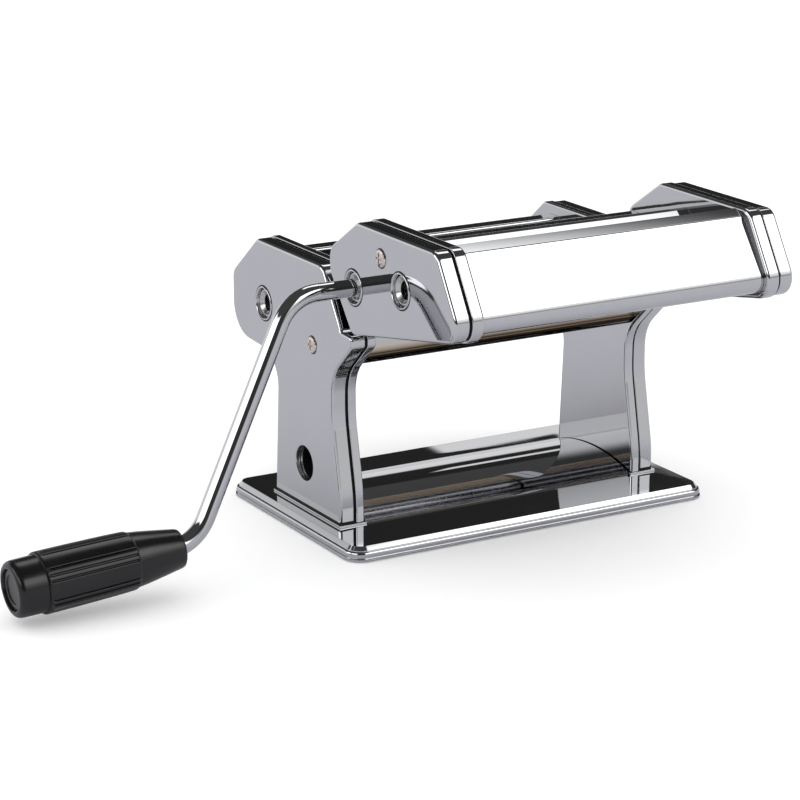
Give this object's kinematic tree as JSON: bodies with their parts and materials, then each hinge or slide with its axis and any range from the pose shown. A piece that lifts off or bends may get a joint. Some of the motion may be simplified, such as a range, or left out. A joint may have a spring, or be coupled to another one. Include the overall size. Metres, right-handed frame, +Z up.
{
  "type": "dough sheeter",
  "caption": "Chromed hand-cranked dough sheeter on a base plate, with smooth rollers, a gap knob, a clip-on double noodle cutter and a pull-out crank.",
  "frame": {"origin": "centre of the base's underside, on the surface it stands on", "axes": "+X along the rollers, away from the crank; -Y the front, where the cutter hangs; +Z up"},
  "size_m": [0.3746, 0.2159, 0.1584],
  "materials": {
    "chrome": "mirror polished chrome plate",
    "steel": "fine turned steel",
    "screw_steel": "yellow passivated steel",
    "nylon": "matt nylon",
    "black_plastic": "satin moulded plastic",
    "rubber": "matt rubber"
  },
  "bodies": {
    "frame": {"base_plate": "chrome", "base_pad": "rubber", "base_screws": "steel", "foot_blocks": "steel", "foot_gaskets": "chrome", "left_outer_shell": "chrome", "left_inner_shell": "chrome", "right_outer_shell": "chrome", "right_inner_shell": "chrome", "rear_cover": "chrome", "front_cover": "chrome", "tie_rods": "steel", "side_screws": "screw_steel", "clamp_sleeve": "chrome", "head_socket_ring": "chrome", "head_bush": "nylon", "roller_scrapers": "nylon", "gap_dial": "black_plastic", "cutter_rails": "steel"},
    "sheeter_drive": {"drive_roller": "steel", "drive_gear": "steel"},
    "gap_carrier": {"bearing_blocks": "nylon"},
    "sheeter_idle": {"idle_roller": "steel", "idle_gear": "steel"},
    "gap_control": {"gap_knob": "black_plastic", "gap_cam": "steel"},
    "cutter": {"cutter_left_outer_cap": "chrome", "cutter_left_inner_cap": "chrome", "cutter_right_outer_cap": "chrome", "cutter_right_inner_cap": "chrome", "cutter_front_cover": "chrome", "cutter_rear_cover": "chrome", "cutter_divider": "chrome", "cutter_tie_rod": "steel", "cutter_screws": "screw_steel", "cutter_combs": "nylon", "cutter_socket_rings": "chrome", "cutter_bushes": "nylon", "cutter_brackets": "steel"},
    "narrow_drive": {"narrow_drive_roller": "steel", "narrow_drive_gear": "steel"},
    "narrow_idle": {"narrow_idle_roller": "steel", "narrow_idle_gear": "steel"},
    "wide_drive": {"wide_drive_roller": "steel", "wide_drive_gear": "steel"},
    "wide_idle": {"wide_idle_roller": "steel", "wide_idle_gear": "steel"},
    "crank": {"crank_rod": "chrome", "grip_washer": "steel"},
    "crank_grip": {"grip": "black_plastic", "grip_plug": "black_plastic"}
  },
  "joints": [
    {"name": "cutter_lift", "type": "slide", "parent": "frame", "child": "cutter", "axis": [0, 0.5615, 0.8275], "range_m": [0, 0.024]},
    {"name": "sheeter_spin", "type": "hinge", "parent": "frame", "child": "sheeter_drive", "pos_m": [0, 0.0442, 0.0993], "axis": [1, 0, 0], "continuous": true},
    {"name": "gap_turn", "type": "hinge", "parent": "frame", "child": "gap_control", "pos_m": [0, 0.017, 0.0993], "axis": [1, 0, 0], "range_deg": [0, 270]},
    {"name": "gap_slide", "type": "slide", "parent": "frame", "child": "gap_carrier", "axis": [0, -1, 0], "range_m": [0, 0.0028]},
    {"name": "sheeter_idle_spin", "type": "hinge", "parent": "gap_carrier", "child": "sheeter_idle", "pos_m": [0, 0.017, 0.0993], "axis": [1, 0, 0], "continuous": true},
    {"name": "crank_spin", "type": "hinge", "parent": "cutter", "child": "narrow_drive", "pos_m": [0, -0.0474, 0.1269], "axis": [1, 0, 0], "continuous": true},
    {"name": "narrow_idle_spin", "type": "hinge", "parent": "cutter", "child": "narrow_idle", "pos_m": [0, -0.0671, 0.13037], "axis": [1, 0, 0], "continuous": true},
    {"name": "wide_spin", "type": "hinge", "parent": "cutter", "child": "wide_drive", "pos_m": [0, -0.08994, 0.1344], "axis": [1, 0, 0], "continuous": true},
    {"name": "wide_idle_spin", "type": "hinge", "parent": "cutter", "child": "wide_idle", "pos_m": [0, -0.10964, 0.13787], "axis": [1, 0, 0], "continuous": true},
    {"name": "crank_pull", "type": "slide", "parent": "narrow_drive", "child": "crank", "axis": [-1, 0, 0], "range_m": [0, 0.022]},
    {"name": "grip_spin", "type": "hinge", "parent": "crank", "child": "crank_grip", "pos_m": [-0.18448, -0.05664, 0.0213], "axis": [-0.998, -0.0055, -0.0626], "continuous": true}
  ],
  "couplings": [
    {"joint": "gap_turn", "follows": "gap_slide", "rad_per_m": 1681.3},
    {"joint": "sheeter_idle_spin", "follows": "sheeter_spin", "ratio": -1},
    {"joint": "narrow_idle_spin", "follows": "crank_spin", "ratio": -1},
    {"joint": "wide_idle_spin", "follows": "wide_spin", "ratio": -1}
  ]
}
